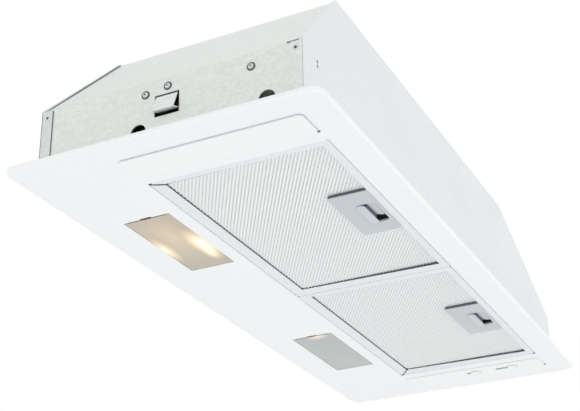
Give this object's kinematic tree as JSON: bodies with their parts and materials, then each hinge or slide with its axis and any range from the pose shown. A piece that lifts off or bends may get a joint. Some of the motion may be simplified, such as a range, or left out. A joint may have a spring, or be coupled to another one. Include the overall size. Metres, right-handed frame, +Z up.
{
  "type": "built-in range hood insert",
  "caption": "Built-in canopy range hood insert: white face panel with hinged grease filters, lamps and slide controls under a galvanised housing with a blower and duct collar.",
  "frame": {"origin": "on the plane where the face panel seats against the cabinet, on top of its folded edge, in the middle of the housing", "axes": "+X along the panel towards the control strip, +Y towards the lamps, +Z up into the cabinet"},
  "size_m": [0.6955, 0.278, 0.1998],
  "materials": {
    "white_enamel": "powder coat, satin",
    "white_plastic": "satin moulded",
    "galvanised": "hot-dip galvanised, faint spangle",
    "galvanised_bright": "skin-passed galvanised, smoother",
    "zinc_screw": "zinc plated",
    "spring_steel": "bare spring steel",
    "filter_aluminium": "satin",
    "filter_mesh": "expanded metal",
    "filter_pad": "layered mesh pad",
    "latch_grey": "fine satin",
    "latch_pull": "fine satin",
    "lamp_glass": "frosted",
    "bulb_glass": "clear halogen capsule",
    "reflector": "bright",
    "ceramic": "glazed ceramic",
    "black_plastic": "moulded",
    "grey_plastic": "moulded",
    "capacitor_case": "moulded",
    "motor_case": "lacquered laminations"
  },
  "bodies": {
    "housing": {"face_panel": "white_enamel", "blank_strip": "white_enamel", "control_strip": "white_enamel", "housing_shell": "galvanised", "front_side_plate": "galvanised_bright", "rear_side_plate": "galvanised_bright", "side_plate_screws": "zinc_screw", "panel_screws": "zinc_screw", "clip_plate_near": "spring_steel", "clip_plate_far": "spring_steel", "end_wall_screws": "zinc_screw", "lamp_housing_near": "galvanised", "lamp_housing_far": "galvanised", "lamp_reflector_near": "reflector", "lamp_reflector_far": "reflector", "lamp_holder_near": "ceramic", "lamp_holder_far": "ceramic", "lamp_bulb_near": "bulb_glass", "lamp_bulb_far": "bulb_glass", "light_switch": "black_plastic", "speed_switch": "black_plastic", "lamp_transformer": "white_plastic", "blower_shell_near": "grey_plastic", "blower_shell_far": "grey_plastic", "blower_screws": "zinc_screw", "motor": "motor_case", "motor_bracket": "zinc_screw", "motor_screws": "zinc_screw", "capacitor": "capacitor_case", "outlet_collar": "black_plastic", "collar_screws": "zinc_screw", "damper_pin": "spring_steel", "terminal_box": "black_plastic", "terminal_box_lid": "black_plastic", "cable_gland": "black_plastic"},
    "filter_near": {"filter_frame_near": "filter_aluminium", "filter_mesh_near": "filter_mesh", "filter_core_near": "filter_pad", "filter_back_near": "filter_mesh", "latch_plate_near": "latch_grey", "latch_spring_near": "spring_steel"},
    "filter_far": {"filter_frame_far": "filter_aluminium", "filter_mesh_far": "filter_mesh", "filter_core_far": "filter_pad", "filter_back_far": "filter_mesh", "latch_plate_far": "latch_grey", "latch_spring_far": "spring_steel"},
    "latch_near": {"latch_slide_near": "latch_pull"},
    "latch_far": {"latch_slide_far": "latch_pull"},
    "lens_near": {"lamp_lens_near": "lamp_glass"},
    "lens_far": {"lamp_lens_far": "lamp_glass"},
    "light_slider": {"light_slider": "white_plastic"},
    "speed_slider": {"speed_slider": "white_plastic"},
    "rotor": {"impeller": "grey_plastic", "motor_shaft": "spring_steel"},
    "flap_near": {"damper_flap_near": "grey_plastic"},
    "flap_far": {"damper_flap_far": "grey_plastic"},
    "clip_near": {"clip_tongue_near": "spring_steel"},
    "clip_far": {"clip_tongue_far": "spring_steel"}
  },
  "joints": [
    {"name": "filter_near_swing", "type": "hinge", "parent": "housing", "child": "filter_near", "pos_m": [-0.13775, 0.0468, -0.004], "axis": [1, 0, 0], "range_deg": [0, 80]},
    {"name": "latch_near_slide", "type": "slide", "parent": "filter_near", "child": "latch_near", "axis": [0, 1, 0], "range_m": [0, 0.004], "stiffness_N_per_m": 400, "springref_m": -0.001, "deforming": ["latch_spring_near"]},
    {"name": "lens_near_swing", "type": "hinge", "parent": "housing", "child": "lens_near", "pos_m": [-0.1065, 0.083, -0.004], "axis": [0, -1, 0], "range_deg": [0, 75]},
    {"name": "clip_near_flex", "type": "hinge", "parent": "housing", "child": "clip_near", "pos_m": [-0.3261, -0.0005, 0.0395], "axis": [0, -1, 0], "range_deg": [0, 18], "stiffness_Nm_per_rad": 1.2, "springref_deg": -2.86},
    {"name": "filter_far_swing", "type": "hinge", "parent": "housing", "child": "filter_far", "pos_m": [0.13775, 0.0468, -0.004], "axis": [1, 0, 0], "range_deg": [0, 80]},
    {"name": "latch_far_slide", "type": "slide", "parent": "filter_far", "child": "latch_far", "axis": [0, 1, 0], "range_m": [0, 0.004], "stiffness_N_per_m": 400, "springref_m": -0.001, "deforming": ["latch_spring_far"]},
    {"name": "lens_far_swing", "type": "hinge", "parent": "housing", "child": "lens_far", "pos_m": [0.2215, 0.083, -0.004], "axis": [0, -1, 0], "range_deg": [0, 75]},
    {"name": "clip_far_flex", "type": "hinge", "parent": "housing", "child": "clip_far", "pos_m": [0.3261, -0.0005, 0.0395], "axis": [0, 1, 0], "range_deg": [0, 18], "stiffness_Nm_per_rad": 1.2, "springref_deg": -2.86},
    {"name": "flap_near_swing", "type": "hinge", "parent": "housing", "child": "flap_near", "pos_m": [-0.02, 0, 0.1635], "axis": [0, 1, 0], "range_deg": [0, 78]},
    {"name": "flap_far_swing", "type": "hinge", "parent": "housing", "child": "flap_far", "pos_m": [-0.02, 0, 0.1635], "axis": [0, -1, 0], "range_deg": [0, 78]},
    {"name": "light_slider_travel", "type": "slide", "parent": "housing", "child": "light_slider", "axis": [0, 1, 0], "range_m": [0, 0.008]},
    {"name": "speed_slider_travel", "type": "slide", "parent": "housing", "child": "speed_slider", "axis": [0, 1, 0], "range_m": [0, 0.018]},
    {"name": "impeller_spin", "type": "hinge", "parent": "housing", "child": "rotor", "pos_m": [-0.02, 0.0115, 0.074], "axis": [1, 0, 0], "continuous": true}
  ]
}
